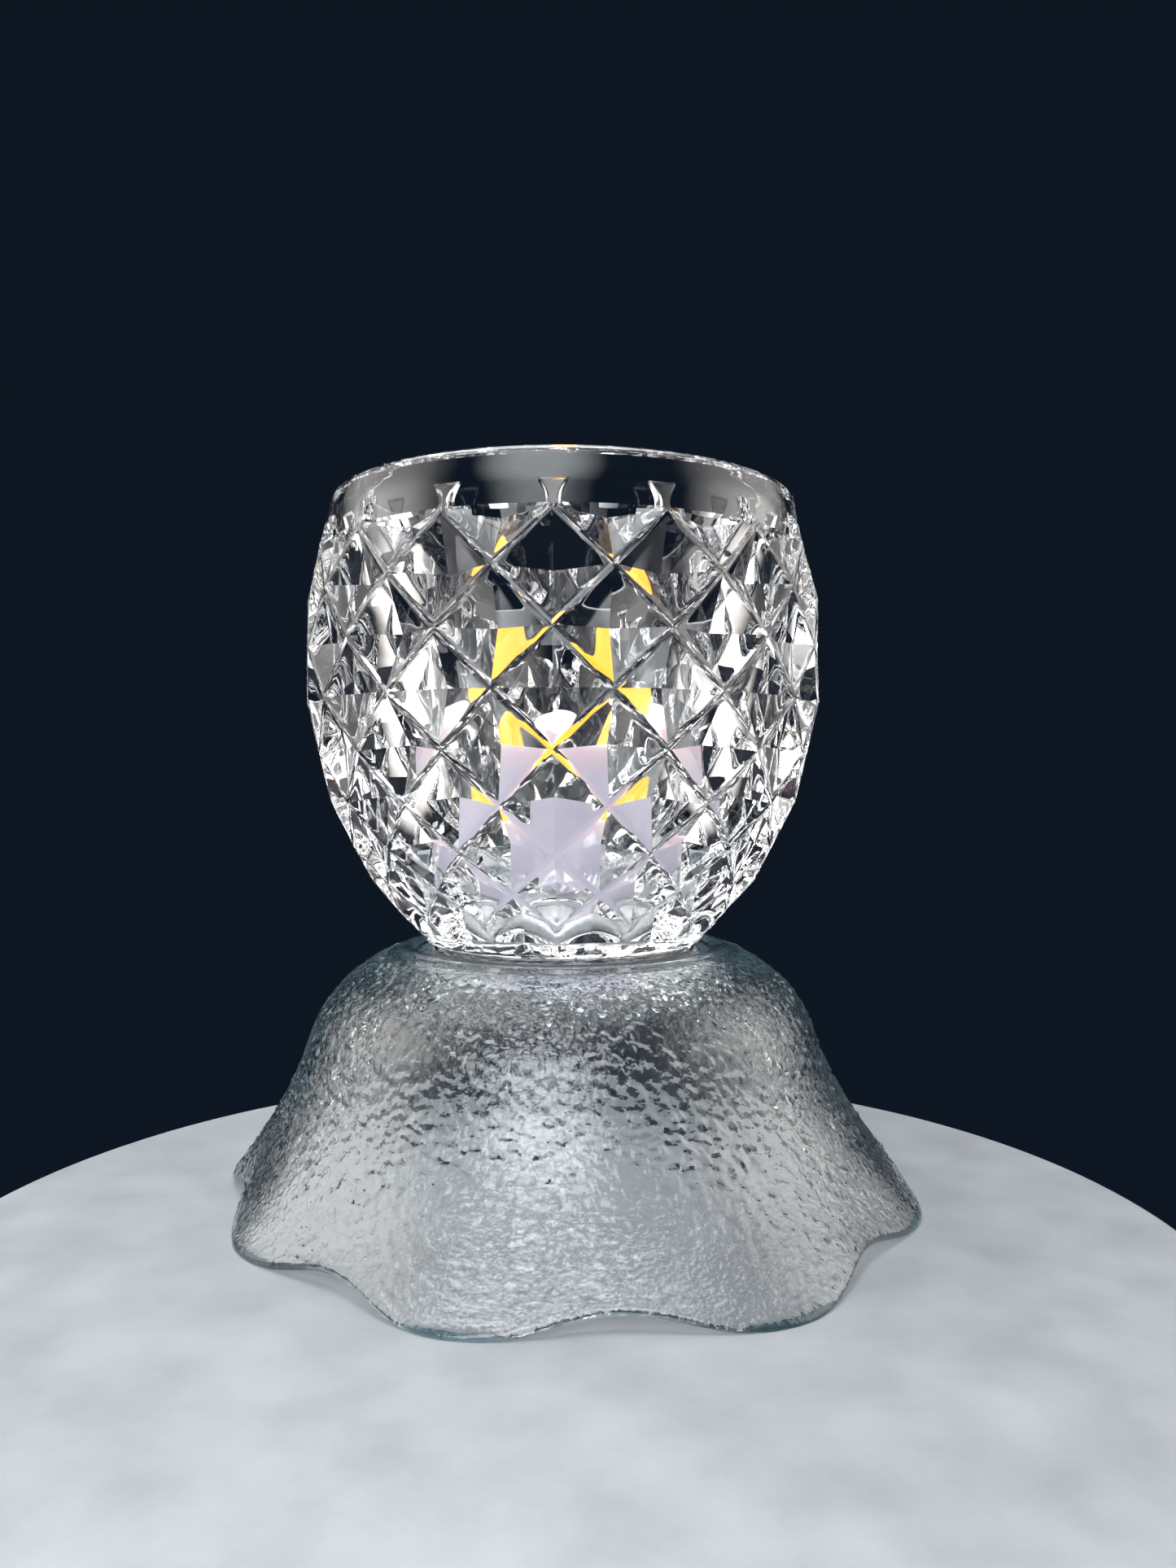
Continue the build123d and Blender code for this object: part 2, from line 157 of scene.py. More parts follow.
def add_bump(material, scale_per_m, strength, distance_mm, detail=2.0, stretch=(1, 1, 1)):
    """Fine noise relief, in object space."""
    tree = material.node_tree
    shader = tree.nodes["Principled BSDF"]
    place = tree.nodes.new("ShaderNodeTexCoord")
    mapping = tree.nodes.new("ShaderNodeMapping")
    mapping.inputs["Scale"].default_value = stretch
    grain = tree.nodes.new("ShaderNodeTexNoise")
    grain.inputs["Scale"].default_value = scale_per_m
    grain.inputs["Detail"].default_value = detail
    bump = tree.nodes.new("ShaderNodeBump")
    bump.inputs["Strength"].default_value = strength
    bump.inputs["Distance"].default_value = distance_mm * MM
    tree.links.new(place.outputs["Object"], mapping.inputs["Vector"])
    tree.links.new(mapping.outputs["Vector"], grain.inputs["Vector"])
    tree.links.new(grain.outputs["Fac"], bump.inputs["Height"])
    tree.links.new(bump.outputs["Normal"], shader.inputs["Normal"])


def add_mottle(material, scale_per_m, dark, light, socket="Base Color", detail=4.0, low=0.35, high=0.65):
    """Two values or colours mixed by noise into one of the shader's sockets."""
    tree = material.node_tree
    shader = tree.nodes["Principled BSDF"]
    place = tree.nodes.new("ShaderNodeTexCoord")
    cloud = tree.nodes.new("ShaderNodeTexNoise")
    cloud.inputs["Scale"].default_value = scale_per_m
    cloud.inputs["Detail"].default_value = detail
    ramp = tree.nodes.new("ShaderNodeValToRGB")
    ramp.color_ramp.elements[0].position = low
    ramp.color_ramp.elements[0].color = dark
    ramp.color_ramp.elements[1].position = high
    ramp.color_ramp.elements[1].color = light
    tree.links.new(place.outputs["Object"], cloud.inputs["Vector"])
    tree.links.new(cloud.outputs["Fac"], ramp.inputs["Fac"])
    tree.links.new(ramp.outputs["Color"], shader.inputs[socket])


def add_absorption(material, colour, density):
    """Plain tint that deepens with the thickness of the glass."""
    tree = material.node_tree
    volume = tree.nodes.new("ShaderNodeVolumeAbsorption")
    volume.inputs["Color"].default_value = colour
    volume.inputs["Density"].default_value = density
    output = tree.nodes["Material Output"]
    tree.links.new(volume.outputs["Volume"], output.inputs["Volume"])


def add_glow(material, low_z, high_z, colours, strength):
    """Emission that changes with height, from (share of the height, colour) stops."""
    tree = material.node_tree
    shader = tree.nodes["Principled BSDF"]
    place = tree.nodes.new("ShaderNodeTexCoord")
    split = tree.nodes.new("ShaderNodeSeparateXYZ")
    height = tree.nodes.new("ShaderNodeMapRange")
    height.inputs["From Min"].default_value = low_z * MM
    height.inputs["From Max"].default_value = high_z * MM
    ramp = tree.nodes.new("ShaderNodeValToRGB")
    stops = ramp.color_ramp.elements
    while len(stops) < len(colours):
        stops.new(0.5)
    for stop, (position, colour) in zip(stops, colours):
        stop.position = position
        stop.color = colour
    tree.links.new(place.outputs["Object"], split.inputs["Vector"])
    tree.links.new(split.outputs["Z"], height.inputs["Value"])
    tree.links.new(height.outputs["Result"], ramp.inputs["Fac"])
    tree.links.new(ramp.outputs["Color"], shader.inputs["Emission Color"])
    shader.inputs["Emission Strength"].default_value = strength


def grey(value):
    return (value, value, value, 1)


def new_clear(name, roughness, ior):
    return new_material(name, Base_Color=grey(1), Roughness=roughness, IOR=ior, Transmission_Weight=1.0)


def make_cup_glass():
    glass = new_clear("cup_glass", 0.0, 1.5)
    add_bump(glass, 170, 0.12, 0.5, detail=1.0)
    return glass


def make_dish_glass():
    glass = new_clear("dish_glass", 0.03, 1.5)
    add_bump(glass, 1000, 0.4, 0.3, detail=1.0)
    add_absorption(glass, (0.5, 0.82, 0.9, 1), 17)
    return glass


def make_adhesive():
    clear = new_clear("adhesive", 0.08, 1.46)
    add_bump(clear, 350, 0.3, 0.4)
    return clear


def make_shell_plastic():
    """Translucent white body with a painted glow: faint lavender emission all over, warming towards the top,
    painted in for the lamp's light shining through it.
    """
    plastic = new_material("shell_plastic", Roughness=0.38, Subsurface_Weight=0.25, Subsurface_Scale=0.004)
    plastic.node_tree.nodes["Principled BSDF"].inputs["Subsurface Radius"].default_value = (1, 0.7, 0.6)
    add_mottle(plastic, 90, (0.74, 0.71, 0.83, 1), (0.80, 0.77, 0.88, 1))
    add_bump(plastic, 500, 0.15, 0.2)
    # painted glow: emission colours standing in for lamp light through the plastic, lavender low down and
    # warm at the top
    cool, warm = (0.34, 0.31, 0.42, 1), (0.9, 0.5, 0.42, 1)
    add_glow(plastic, SHELL_HIGH.z - 8.0, SHELL_HIGH.z, [(0, cool), (1, warm)], 0.42)
    return plastic


def make_flame_plastic():
    """Frosted amber flame, paler low down where the lamp is."""
    plastic = new_material("flame_plastic", Base_Color=(0.9, 0.42, 0.06, 1), Roughness=0.3)
    colours = [(0, (1, 0.6, 0.25, 1)), (0.3, (1, 0.52, 0.03, 1)), (1, (1, 0.42, 0.008, 1))]
    add_glow(plastic, FLAME_LOW.z, FLAME_HIGH.z, colours, 1.1)
    return plastic


def make_lamp_epoxy():
    epoxy = new_material("lamp_epoxy", Base_Color=(1, 0.8, 0.4, 1), Roughness=0.1)
    add_mottle(epoxy, 300, (0.9, 0.62, 0.25, 1), (1, 0.8, 0.45, 1))
    return epoxy


def make_moulded(name, dark, light, roughness):
    plastic = new_material(name, Roughness=roughness)
    add_mottle(plastic, 160, dark, light)
    add_bump(plastic, 2500, 0.2, 0.06)
    return plastic


def make_metal(name, dark, light, roughness):
    metal = new_material(name, Metallic=1.0, Roughness=roughness)
    add_mottle(metal, 400, dark, light)
    add_bump(metal, 1800, 0.15, 0.04, stretch=(1, 12, 1))
    return metal


def make_marble():
    """Pale honed marble with faint clouds."""
    stone = new_material("marble", Roughness=0.42)
    add_mottle(stone, 60, (0.27, 0.285, 0.305, 1), (0.38, 0.4, 0.425, 1), detail=12.0, low=0.25, high=0.75)
    add_bump(stone, 700, 0.1, 0.1, detail=4.0)
    return stone


# ---------------------------------------------------------------- cup
DIAMONDS_AROUND = 16
LAST_ROW = 8
BELLY_R = CUP_HIGH.x
BELLY_Z = CUP_LOW.z + 60.5
HALF_HEIGHT = 70.8
FIRST_ROW_Z = CUP_HIGH.z - 12.0
TAB_TOP_Z = CUP_HIGH.z - 7.0
BAND_R = 49.9
DIAMOND_DEPTH = 3.9
DIAMOND_PHASE = math.radians(-1.0)
RIDGE_WIDTH = 0.02  # of a diamond's side, how round the ridge is
RIDGE_FLAT = 0.042
# Where the mesh is cut across one diamond: close together at the ridges.
HALF_CUTS = [0, 0.014, 0.028, 0.042, 0.058, 0.08, 0.12, 0.18, 0.26, 0.34, 0.42, 0.5]
CUTS = HALF_CUTS + [1 - cut for cut in HALF_CUTS[-2::-1]]
CELLS = len(CUTS) - 1
CUP_FLOOR_Z = SHELL_LOW.z
# Inside of the cup from the rim down, (height above its floor, radius).
CUP_INSIDE = [
    (83.6, 43.9), (77.7, 43.5), (70.6, 43.1), (61.2, 42.4), (51.7, 41.5), (42.3, 40.6), (32.8, 39.4),
    (25.8, 38.2), (19.9, 36.6), (14.2, 33.9), (9.4, 30.6), (5.3, 27.2), (2.0, 23.2), (0.3, 20.2),
    (0.0, 18.6), (0.0, 6.0),
]
FOOT_R = 29.6
# A tab's half width and its sloping side, in half steps between two tabs.
TAB_NECK = 0.07
TAB_FLARE = 0.13
TAB_SLOPE = 0.07
TAB_CUTS = 3  # cuts across the tab's half
SLOPE_CUTS = 6  # cuts to the foot of its slope
SLOPE_SHARES = (0.8, 0.3, 0.0)  # how much of the tab stands at each
BAND_START_Z = TAB_TOP_Z + 0.6


def belly(z):
    return BELLY_R * math.sqrt(max(0.0, 1 - ((z - BELLY_Z) / HALF_HEIGHT) ** 2))


def row_heights():
    rows = [FIRST_ROW_Z]
    while len(rows) < LAST_ROW + 2:
        step = belly(rows[-1]) * math.pi / DIAMONDS_AROUND
        middle = rows[-1] - step / 2
        slope = (belly(middle + 0.01) - belly(middle - 0.01)) / 0.02
        rows.append(rows[-1] - step / math.hypot(1, slope))
    return rows


def ridge_ramp(t):
    """Depth of a pocket as a share, at t of a side away from the nearest ridge."""
    def soft(x):
        return 0.5 * ((x - RIDGE_FLAT) + math.hypot(x - RIDGE_FLAT, RIDGE_WIDTH))
    return (soft(t) - soft(0)) / (soft(0.5) - soft(0))


class CupMesh:
    """Gathers the points and faces of the diamond-cut cup."""

    def __init__(self):
        self.rows = row_heights()
        self.points = []
        self.faces = []
        self.known = {}

    def add(self, point):
        self.points.append(tuple(point))
        return len(self.points) - 1

    def shared(self, point):
        """Number of a point that neighbouring diamonds have in common."""
        key = tuple(round(c, 3) for c in point)
        if key not in self.known:
            self.known[key] = self.add(point)
        return self.known[key]

    def crossing(self, half_steps, row):
        angle = DIAMOND_PHASE + half_steps * math.pi / DIAMONDS_AROUND
        z = self.rows[row]
        return np.array(around(belly(z), angle, z))

    def normal(self, half_steps, row):
        angle = DIAMOND_PHASE + half_steps * math.pi / DIAMONDS_AROUND
        z = self.rows[row]
        slope = (belly(z + 0.01) - belly(z - 0.01)) / 0.02
        direction = np.array(around(1, angle, -slope))
        return direction / np.linalg.norm(direction)

    def diamond(self, half_steps, row):
        """One pocket, or the half of it below the first row or above the last."""
        left = self.crossing(half_steps - 1, row)
        right = self.crossing(half_steps + 1, row)
        below = self.crossing(half_steps, row + 1)
        above = self.crossing(half_steps, row - 1) if row else left + right - below
        normal = self.normal(half_steps, row)
        depth = DIAMOND_DEPTH * belly(self.rows[row]) / BELLY_R
        number = {}
        for i, u in enumerate(CUTS):
            for j, v in enumerate(CUTS):
                if (row == 0 and i < j) or (row == LAST_ROW and i > j):
                    continue
                flat = (1 - u) * (1 - v) * left + u * v * right + u * (1 - v) * below + (1 - u) * v * above
                sunk = depth * ridge_ramp(min(u, 1 - u, v, 1 - v))
                number[i, j] = self.shared(flat - normal * sunk)
        for i in range(CELLS):
            for j in range(CELLS):
                corners = [(i, j), (i + 1, j), (i + 1, j + 1), (i, j + 1)]
                same_side = (i + 0.5 - CELLS / 2) * (j + 0.5 - CELLS / 2) > 0
                if same_side or i == j:
                    triangles = [(0, 1, 2), (0, 2, 3)]
                else:
                    triangles = [(0, 1, 3), (1, 2, 3)]
                for triangle in triangles:
                    chosen = [corners[k] for k in triangle]
                    if all(c in number for c in chosen):
                        self.faces.append(tuple(number[c] for c in chosen))
        return [number[i, i] for i in range(CELLS + 1)] if row in (0, LAST_ROW) else None

    def loop(self, radius_at, z):
        """Closed loop with a point at each of the given angles."""
        return [self.add(around(radius_at(a), a, z)) for a in self.angles]

    def lift(self, previous, current):
        bridge(self.faces, previous, current)
        return current


def band_radius(z):
    if z < TAB_TOP_Z:
        return BAND_R
    return BAND_R - 1.06 * ((z - TAB_TOP_Z) / (CUP_HIGH.z - TAB_TOP_Z)) ** 2


def add_tabs(cup, top_loops):
    """Flared tabs that end the ridges under the plain rim band. Returns the top loop."""
    z_low = cup.rows[0]
    previous = [number for a in sorted(top_loops) for number in top_loops[a][:-1]]
    first = list(previous)
    heights = [z_low + (TAB_TOP_Z - z_low) * f for f in (0.12, 0.25, 0.4, 0.55, 0.7, 0.85, 0.96, 1.0)]
    for z in heights + [TAB_TOP_Z + 0.3, BAND_START_Z]:
        rise = min(1.0, (z - z_low) / (TAB_TOP_Z - z_low))
        blend = min(1.0, rise / 0.25)
        tab = TAB_NECK + TAB_FLARE * max(0.0, (rise - 0.4) / 0.6) ** 1.5
        fade = 1.0 if z <= TAB_TOP_Z else (0.5 if z < TAB_TOP_Z + 0.45 else 0.0)
        current = []
        for count, a in enumerate(sorted(top_loops)):
            for k, u in enumerate(CUTS[:-1]):
                near = k if k <= CELLS // 2 else CELLS - k
                plain = 2 * CUTS[near]
                if near <= TAB_CUTS:
                    spread, on_tab = tab * near / TAB_CUTS, 1.0
                elif near <= SLOPE_CUTS:
                    down = near - TAB_CUTS
                    spread = tab + TAB_SLOPE * down / (SLOPE_CUTS - TAB_CUTS)
                    on_tab = SLOPE_SHARES[down - 1]
                else:
                    slope_end = 2 * CUTS[SLOPE_CUTS]
                    rest = (plain - slope_end) / (1 - slope_end)
                    spread, on_tab = tab + TAB_SLOPE + (1 - TAB_SLOPE - tab) * rest, 0.0
                across = 1 - (plain * (1 - blend) + spread * blend)
                side = -across if u < 0.5 else across
                angle = DIAMOND_PHASE + (a + side) * math.pi / DIAMONDS_AROUND
                edge = band_radius(z)
                radius = edge + (belly(z) - 0.18 - edge) * on_tab * fade
                if on_tab < 0.5:
                    x, y, _ = cup.points[first[count * CELLS + k]]
                    radius = math.hypot(x, y) * (1 - blend) + radius * blend
                current.append(cup.add(around(radius, angle, z)))
        previous = cup.lift(previous, current)
    return previous


def add_rim_and_inside(cup, previous):
    cup.angles = [math.atan2(cup.points[n][0], -cup.points[n][1]) for n in previous]
    shoulder_z = CUP_HIGH.z - 2.0
    inner_r = CUP_INSIDE[0][1] + 0.3
    for f in (0.25, 0.5, 0.75, 1.0):
        z = BAND_START_Z + (shoulder_z - BAND_START_Z) * f
        previous = cup.lift(previous, cup.loop(lambda a: band_radius(z), z))
    outer_r = band_radius(shoulder_z)
    middle, half = (outer_r + inner_r) / 2, (outer_r - inner_r) / 2
    for step in range(1, 13):
        turn = math.pi * step / 12
        z = shoulder_z + 2.0 * math.sin(turn)
        previous = cup.lift(previous, cup.loop(lambda a: middle + half * math.cos(turn), z))
    for height, radius in smooth_path(CUP_INSIDE, 4):
        z = CUP_FLOOR_Z + height - 0.05

        def wavy(angle):
            """Pressed glass is a little uneven inside."""
            at = Vector(around(radius / 16, angle, z / 16))
            return radius * (1 + 0.0012 * noise.noise(at) * min(1.0, height / 10))

        previous = cup.lift(previous, cup.loop(wavy, z))
    centre = cup.add((0, 0, CUP_FLOOR_Z - 0.05))
    count = len(previous)
    cup.faces += [(previous[i], previous[(i + 1) % count], centre) for i in range(count)]


def add_foot(cup, bottom_loops):
    previous = [number for a in sorted(bottom_loops) for number in bottom_loops[a][:-1]]
    start = [cup.points[n] for n in previous]
    cup.angles = [math.atan2(p[0], -p[1]) for p in start]
    for rise, blend in ((3.5, 0.5), (1.9, 0.85), (0.95, 1.0)):
        z = CUP_LOW.z + rise
        current = []
        for angle, (x, y, _) in zip(cup.angles, start):
            radius = math.hypot(x, y) * (1 - blend) + (FOOT_R + 0.3) * blend
            radius = min(radius, FOOT_R + 0.3 + (rise - 0.95))
            current.append(cup.add(around(radius, angle, z)))
        cup.lift(current, previous)
        previous = current
    for rise, radius in ((0.4, FOOT_R), (0.08, FOOT_R - 0.7), (0.0, FOOT_R - 1.8), (0.0, 14.0)):
        current = cup.loop(lambda a: radius, CUP_LOW.z + rise)
        cup.lift(current, previous)
        previous = current
    centre = cup.add((0, 0, CUP_LOW.z))
    count = len(previous)
    cup.faces += [(previous[(i + 1) % count], previous[i], centre) for i in range(count)]


def build_cup(material):
    cup = CupMesh()
    top_loops = {}
    bottom_loops = {}
    for row in range(LAST_ROW + 1):
        for half_steps in range(2 * DIAMONDS_AROUND):
            if (half_steps + row) % 2 == 0:
                continue
            edge = cup.diamond(half_steps, row)
            if row == 0:
                top_loops[half_steps] = edge
            elif row == LAST_ROW:
                bottom_loops[half_steps] = edge
    add_rim_and_inside(cup, add_tabs(cup, top_loops))
    add_foot(cup, bottom_loops)
    thing = make_object("cut_glass_cup", cup.points, cup.faces, material, "holder", 9)
    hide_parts("candle_cup")
    return thing


# ---------------------------------------------------------------- dish
LOBES = 9
LOBE_PHASE = math.radians(28.0)
LOBE_SWELL = 2.6
LOBE_REACH = (5.4, -0.8, -0.5, 0.5, 0.5, -1.5, -4.4, -3.2, 2.2)  # as ruffled by hand
EDGE_LIFT = 3.0
RUFFLE_TOP_Z = 27.0
DISH_TOP_Z = GLUE_LOW.z
DISH_WALL = 3.6
LIP_THIN = 1.5  # how much thinner the wall is at its edge
RELIEF_MM = 0.5
EDGE_SMOOTH = 0.5  # how much of the relief is lost towards the edge
# Outside of the dish from its flat top to its edge, (radius, z).
DISH_OUTSIDE = [
    (31.6, DISH_TOP_Z), (32.9, DISH_TOP_Z + 0.45), (34.0, DISH_TOP_Z + 0.6), (35.1, DISH_TOP_Z + 0.4),
    (36.4, 49.2), (40.2, 47.6), (46.6, 43.0), (51.8, 36.2), (55.3, 27.0), (58.6, 20.4), (63.6, 12.8),
    (69.2, 5.7), (73.4, 0.9),
]


def lobe_reach(angle):
    """Reach of the edge at an angle, eased from one lobe's to the next."""
    turn = (angle - LOBE_PHASE) * LOBES / (2 * math.pi)
    lobe = math.floor(turn)
    share = 0.5 - 0.5 * math.cos(math.pi * (turn - lobe))
    return LOBE_REACH[lobe % LOBES] * (1 - share) + LOBE_REACH[(lobe + 1) % LOBES] * share


def ruffled(radius, angle, z, drop):
    """Edge of the dish: it swells at the lobes and lifts between them."""
    amount = max(0.0, 1 - max(z, 0) / RUFFLE_TOP_Z) ** 2
    lobe = math.cos(LOBES * (angle - LOBE_PHASE))
    lifted = EDGE_LIFT * (0.5 - 0.5 * lobe) ** 1.2 * drop**3
    return radius + amount * (LOBE_SWELL * lobe + lobe_reach(angle)), z + lifted


def relief(angle, path_mm, radius):
    """Wrinkled ice texture: short marks that lie round the dish."""
    x, y, _ = around(radius, angle, 0)
    coarse = noise.noise(Vector((x / 1.9, y / 1.9, path_mm / 1.35)))
    fine = abs(noise.noise(Vector((x / 1.3, y / 1.3, path_mm / 0.95 + 40))))
    patchy = 0.9 + 0.5 * noise.noise(Vector((x / 12, y / 12, path_mm / 12 + 80)))
    return RELIEF_MM * patchy * (0.85 * coarse + 1.35 * fine)


def build_dish(material):
    segments = 880
    outside = smooth_path(DISH_OUTSIDE, 16)
    travelled = [0.0]
    for (r0, z0), (r1, z1) in zip(outside, outside[1:]):
        travelled.append(travelled[-1] + math.hypot(r1 - r0, z1 - z0))
    total = travelled[-1]
    points = []
    faces = []
    loops = []
    normals = []
    for i, (r, z) in enumerate(outside):
        r0, z0 = outside[max(i - 1, 0)]
        r1, z1 = outside[min(i + 1, len(outside) - 1)]
        length = math.hypot(r1 - r0, z1 - z0)
        normals.append((-(z1 - z0) / length, (r1 - r0) / length))
    textured_from = 5.6
    for (r, z), (nr, nz), s in zip(outside, normals, travelled):
        share = min(1.0, max(0.0, (s - textured_from) / 2.5)) * min(1.0, max(0.0, (total - s) / 1.2 + 0.25))
        share *= 1 - EDGE_SMOOTH * (s / total) ** 2
        loop = []
        for k in range(segments):
            angle = 2 * math.pi * k / segments
            deep = relief(angle, s, r) * share if share else 0.0
            radius, height = ruffled(r, angle, z, s / total)
            loop.append(len(points))
            points.append(around(radius + nr * deep, angle, height + nz * deep))
        loops.append(loop)
    # Rounded lip, then the smooth inside back up to the ceiling.
    r_end, z_end = outside[-1]
    nr, nz = normals[-1]
    lip = DISH_WALL - LIP_THIN
    inner_end = (r_end - nr * lip, z_end - nz * lip)
    middle = ((r_end + inner_end[0]) / 2, (z_end + inner_end[1]) / 2)
    along = (nz, -nr)
    profile = []
    for step in range(1, 9):
        turn = math.pi * step / 8
        reach = lip / 2
        across = math.cos(turn) * reach
        out = math.sin(turn) * reach * 0.8
        r = middle[0] + nr * across + along[0] * out
        z = middle[1] + nz * across + along[1] * out
        profile.append((r, z, 1.0))
    for (r, z), (a, b), s in list(zip(outside, normals, travelled))[-2::-3]:
        if r < 38:
            break
        wall = DISH_WALL - LIP_THIN * (s / total) ** 4
        profile.append((r - a * wall, z - b * wall, s / total))
    profile += [(31.0, DISH_TOP_Z - DISH_WALL, 0), (18.0, DISH_TOP_Z - DISH_WALL, 0)]
    for r, z, share in profile:
        loop = []
        for k in range(segments):
            angle = 2 * math.pi * k / segments
            radius, height = ruffled(r, angle, z, share)
            loop.append(len(points))
            points.append(around(radius, angle, max(height, 0.02)))
        loops.append(loop)
    for lower, upper in zip(loops, loops[1:]):
        bridge(faces, lower, upper)
    for loop, z in ((loops[0], DISH_TOP_Z), (loops[-1], DISH_TOP_Z - DISH_WALL)):
        centre = len(points)
        points.append((0, 0, z))
        faces += [(loop[i], loop[(i + 1) % segments], centre) for i in range(segments)]
    thing = make_object("ice_glass_dish", points, faces, material, "holder", 50)
    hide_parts("ruffled_base")
    return thing


def build_adhesive(material):
    """Thin clear pool of glue with a rounded bead at its edge."""
    low, high, gap = GLUE_LOW.z, GLUE_HIGH.z, 0.04
    edge = GLUE_HIGH.x
    profile = [(0, low + gap), (edge, low + gap), (edge + 1.1, low + gap + 0.1), (edge + 0.7, low + 0.5)]
    profile += [(edge + 0.3, low + 0.8), (edge + 0.4, high - 0.3), (edge + 0.5, high - gap), (0, high - gap)]

    def uneven(radius, angle, z):
        wobble = noise.noise(Vector(around(2.2, angle, 0)))
        return radius * (1 + 0.02 * wobble) if radius > 1 else radius, angle, z

    thing = lathe("clear_adhesive", profile, material, "holder", 160, uneven)
    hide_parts("adhesive_joint")
    return thing


# ---------------------------------------------------------------- tealight
POOL_Z = SHELL_HIGH.z - 3.35  # the imitation wax pool that the flame stands in


def build_shell(material):
    z0 = SHELL_LOW.z
    top = SHELL_HIGH.z
    pool = POOL_Z
    side_r = SHELL_HIGH.x
    profile = [
        (0, pool), (4.0, pool), (9.0, pool + 0.15), (12.5, pool + 0.4), (14.3, pool + 0.9),
        (15.3, pool + 1.8), (16.0, top - 0.5), (16.5, top - 0.1), (16.9, top), (17.25, top - 0.15),
        (17.5, top - 0.6), (17.55, top - 2.0), (side_r - 0.3, z0 + 14.0), (side_r, z0 + 1.2),
        (side_r - 0.1, z0 + 0.5), (side_r - 0.4, z0 + 0.1), (side_r - 0.8, z0), (16.75, z0),
        (16.7, z0 + 0.4), (16.7, z0 + 2.6), (15.85, z0 + 2.7), (15.6, pool - 2.6), (5.0, pool - 1.2),
        (0, pool - 1.2),
    ]
    rim_z = pool - 2.6

    def melted(radius, angle, z):
        """The imitation wax dips and swells a little along its rim."""
        rise = max(0.0, min(1.0, (z - rim_z) / (top - rim_z)))
        wave = noise.noise(Vector(around(1.1, angle, 3.0)))
        return radius, angle, z - 0.55 * rise * (0.5 + wave) if radius > 12 else z

    thing = lathe("tealight_body", profile, material, "tealight", 144, melted, 40)
    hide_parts("tealight_shell")
    return thing


def build_flame(material):
    """Teardrop with a slight lean to its tip."""
    neck_z = POOL_Z + 0.05
    tip_z = FLAME_HIGH.z
    tall = tip_z - neck_z
    outline = [
        (3.7, neck_z), (4.5, neck_z + 1.6), (5.6, neck_z + 0.16 * tall), (6.1, neck_z + 0.28 * tall),
        (5.9, neck_z + 0.44 * tall), (5.1, neck_z + 0.6 * tall), (3.8, neck_z + 0.76 * tall),
        (2.3, neck_z + 0.89 * tall), (0.6, tip_z - 0.4),
    ]
    profile = [(0, neck_z)] + smooth_path(outline, 4) + [(0, tip_z)]
    made = lathe("frosted_flame", profile, material, "tealight", 64)
    for vertex in made.data.vertices:
        up = max(0.0, (vertex.co.z / MM - neck_z) / (tip_z - neck_z))
        vertex.co.x += 0.5 * MM * up**3
    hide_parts("flame_lens")
    return made


# ---------------------------------------------------------------- stage
SLAB_R = 118.0
SLAB_Y = -36.0
SLAB_THICK = 14.0


def build_slab(material):
    profile = [(0, 0), (SLAB_R - 1.6, 0), (SLAB_R - 0.5, -0.4), (SLAB_R, -1.6)]
    profile += [(SLAB_R, 1.6 - SLAB_THICK), (SLAB_R - 1.6, -SLAB_THICK), (0, -SLAB_THICK)]
    slab = lathe("marble_slab", profile, material, None, 256, None, 50)
    slab.location.y = SLAB_Y * MM


def soft_panel(name, place, target, radius, strength, colour=(1, 1, 1, 1)):
    """Round softbox that fades out towards its edge, so it has no hard reflection."""
    glow = bpy.data.materials.new(name)
    glow.use_nodes = True
    tree = glow.node_tree
    tree.nodes.remove(tree.nodes["Principled BSDF"])
    place_node = tree.nodes.new("ShaderNodeTexCoord")
    fade = tree.nodes.new("ShaderNodeTexGradient")
    fade.gradient_type = "SPHERICAL"
    mapping = tree.nodes.new("ShaderNodeMapping")
    mapping.inputs["Scale"].default_value = (1 / radius,) * 3
    smooth = tree.nodes.new("ShaderNodeMapRange")
    smooth.interpolation_type = "SMOOTHSTEP"
    smooth.inputs["From Max"].default_value = 0.75
    smooth.inputs["To Max"].default_value = strength
    emit = tree.nodes.new("ShaderNodeEmission")
    emit.inputs["Color"].default_value = colour
    tree.links.new(place_node.outputs["Object"], mapping.inputs["Vector"])
    tree.links.new(mapping.outputs["Vector"], fade.inputs["Vector"])
    tree.links.new(fade.outputs["Fac"], smooth.inputs["Value"])
    tree.links.new(smooth.outputs["Result"], emit.inputs["Strength"])
    tree.links.new(emit.outputs["Emission"], tree.nodes["Material Output"].inputs["Surface"])
    rim = [(radius * math.cos(a), radius * math.sin(a), 0) for a in np.linspace(0, 2 * math.pi, 49)[:-1]]
    mesh = bpy.data.meshes.new(name)
    mesh.from_pydata(rim, [], [tuple(range(len(rim)))])
    mesh.materials.append(glow)
    panel = bpy.data.objects.new(name, mesh)
    panel.location = place
    panel.rotation_euler = (Vector(target) - Vector(place)).to_track_quat("-Z", "Y").to_euler()
    bpy.context.scene.collection.objects.link(panel)
    panel.visible_camera = False


def under_dish_fill():
    """Evens out the slab in the dish's shade; itself unseen, straight or through glass."""
    lamp = bpy.data.lights.new("under_dish_fill", "AREA")
    lamp.shape = "DISK"
    lamp.size = 90 * MM
    lamp.energy = 0.03
    fill = bpy.data.objects.new("under_dish_fill", lamp)
    fill.location.z = 42 * MM
    fill.visible_camera = fill.visible_glossy = fill.visible_transmission = False
    bpy.context.scene.collection.objects.link(fill)


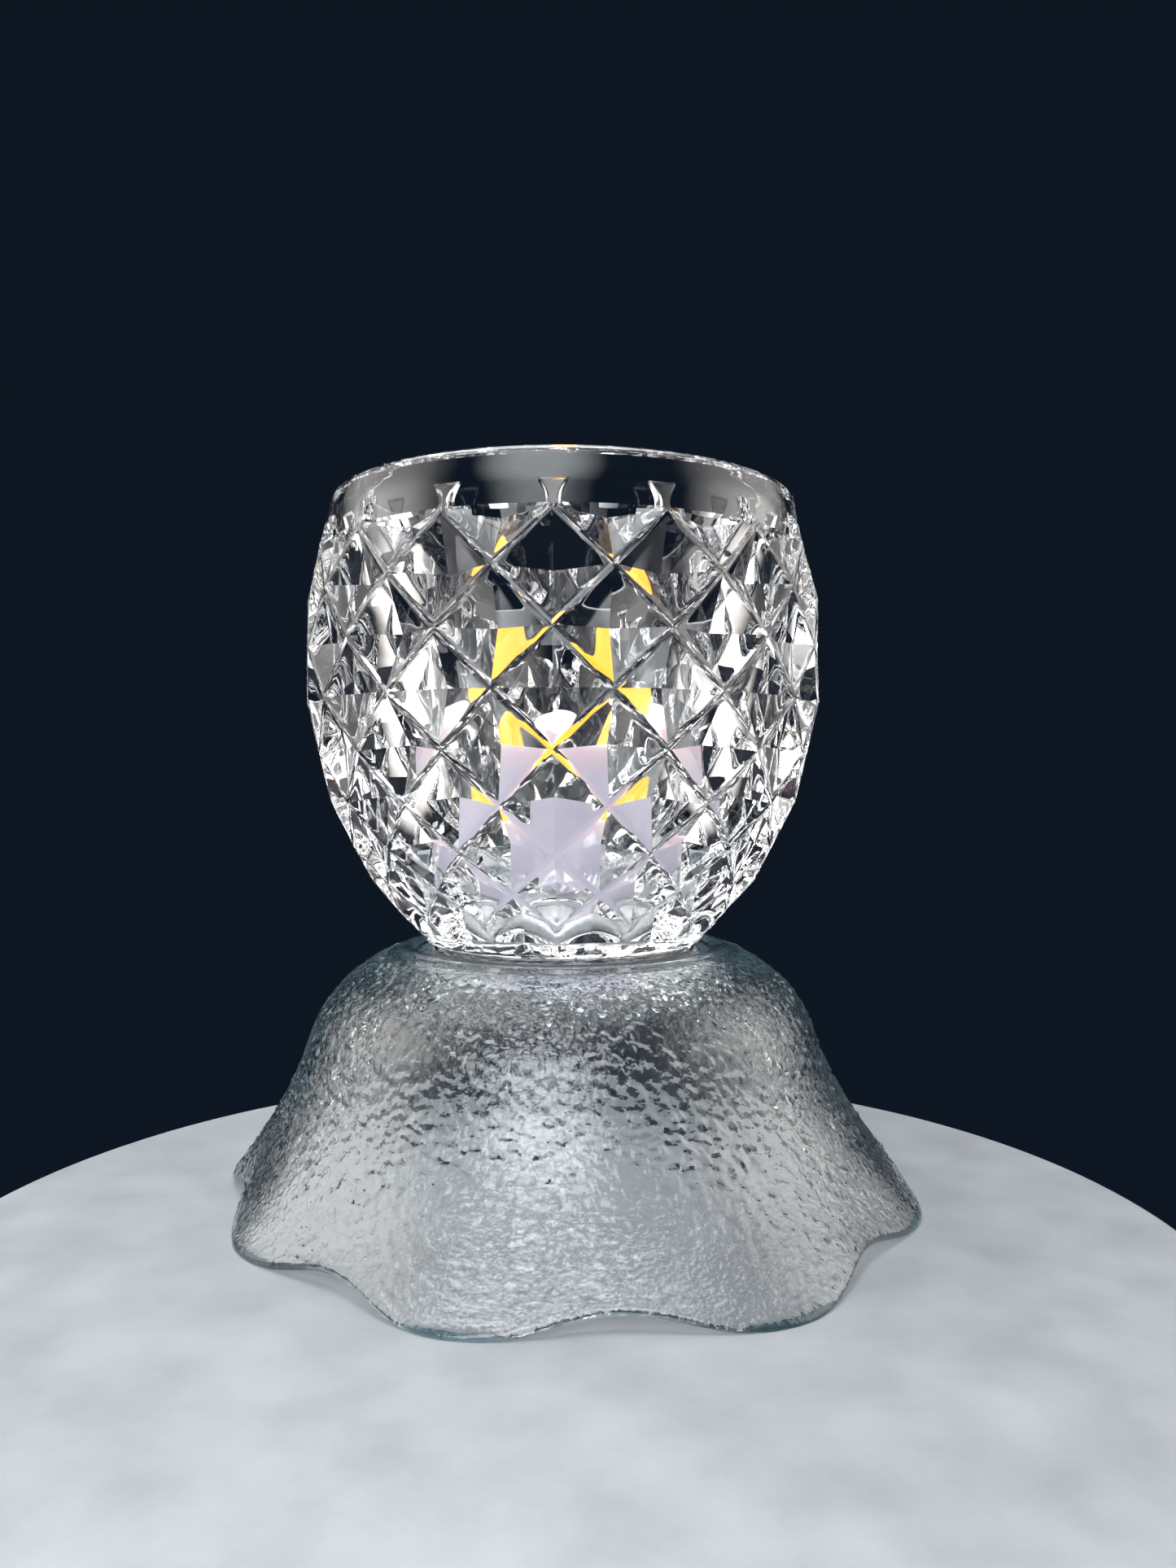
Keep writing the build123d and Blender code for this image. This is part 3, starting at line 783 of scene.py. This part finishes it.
def light_studio():
    world = bpy.data.worlds.new("dark_room")
    bpy.context.scene.world = world
    world.use_nodes = True
    background = world.node_tree.nodes["Background"]
    background.inputs["Color"].default_value = (0.0045, 0.0085, 0.0155, 1)
    middle = (0, 0, 0.08)
    soft_panel("overhead", (-0.08, 0.1, 0.72), middle, 0.5, 7.0, (0.95, 0.98, 1, 1))
    soft_panel("left_window", (-0.62, 0.0, 0.34), middle, 0.52, 2.8, (1, 0.965, 0.93, 1))
    soft_panel("right_window", (0.62, 0.04, 0.34), middle, 0.52, 2.5, (1, 0.965, 0.93, 1))
    soft_panel("front_fill", (-0.12, -0.64, 0.5), middle, 0.42, 6.6, (0.93, 0.97, 1, 1))
    under_dish_fill()


CAMERA_PLACE = (5.2, -255.9, 86.7)
CAMERA_PITCH = 0.0083  # radians below level
SENSOR_HEIGHT = 24
LENS = 18.0218


def place_camera():
    camera = bpy.data.cameras.new("camera")
    camera.sensor_fit = "VERTICAL"
    camera.sensor_height = SENSOR_HEIGHT
    camera.lens = LENS
    camera.clip_start = 0.005
    thing = bpy.data.objects.new("camera", camera)
    thing.location = [c * MM for c in CAMERA_PLACE]
    thing.rotation_euler = (math.pi / 2 - CAMERA_PITCH, 0, 0)
    bpy.context.scene.collection.objects.link(thing)
    bpy.context.scene.camera = thing


def paint_nodes():
    """Materials for the CAD nodes that stay as they are."""
    white = make_moulded("plate_plastic", grey(0.68), grey(0.76), 0.42)
    door = make_moulded("door_plastic", grey(0.60), grey(0.68), 0.42)
    black = make_moulded("slider_plastic", grey(0.012), grey(0.02), 0.5)
    steel = make_metal("cell_steel", grey(0.5), grey(0.62), 0.28)
    brass = make_metal("contact_metal", (0.62, 0.45, 0.2, 1), (0.78, 0.6, 0.3, 1), 0.3)
    paint = {
        "led_lamp": make_lamp_epoxy(),
        "base_plate": white,
        "battery_door": door,
        "coin_cell": steel,
        "contact_negative": brass,
        "contact_positive": brass,
        "switch_slider": black,
    }
    for node, material in paint.items():
        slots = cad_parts[node].data.materials
        slots.clear()
        slots.append(material)


def main():
    build_cup(make_cup_glass())
    build_dish(make_dish_glass())
    build_adhesive(make_adhesive())
    build_shell(make_shell_plastic())
    build_flame(make_flame_plastic())
    paint_nodes()
    build_slab(make_marble())
    light_studio()
    place_camera()
    scene = bpy.context.scene
    scene.cycles.max_bounces = 24
    scene.cycles.transmission_bounces = 24
    scene.cycles.glossy_bounces = 12
    scene.view_settings.view_transform = "Standard"


main()
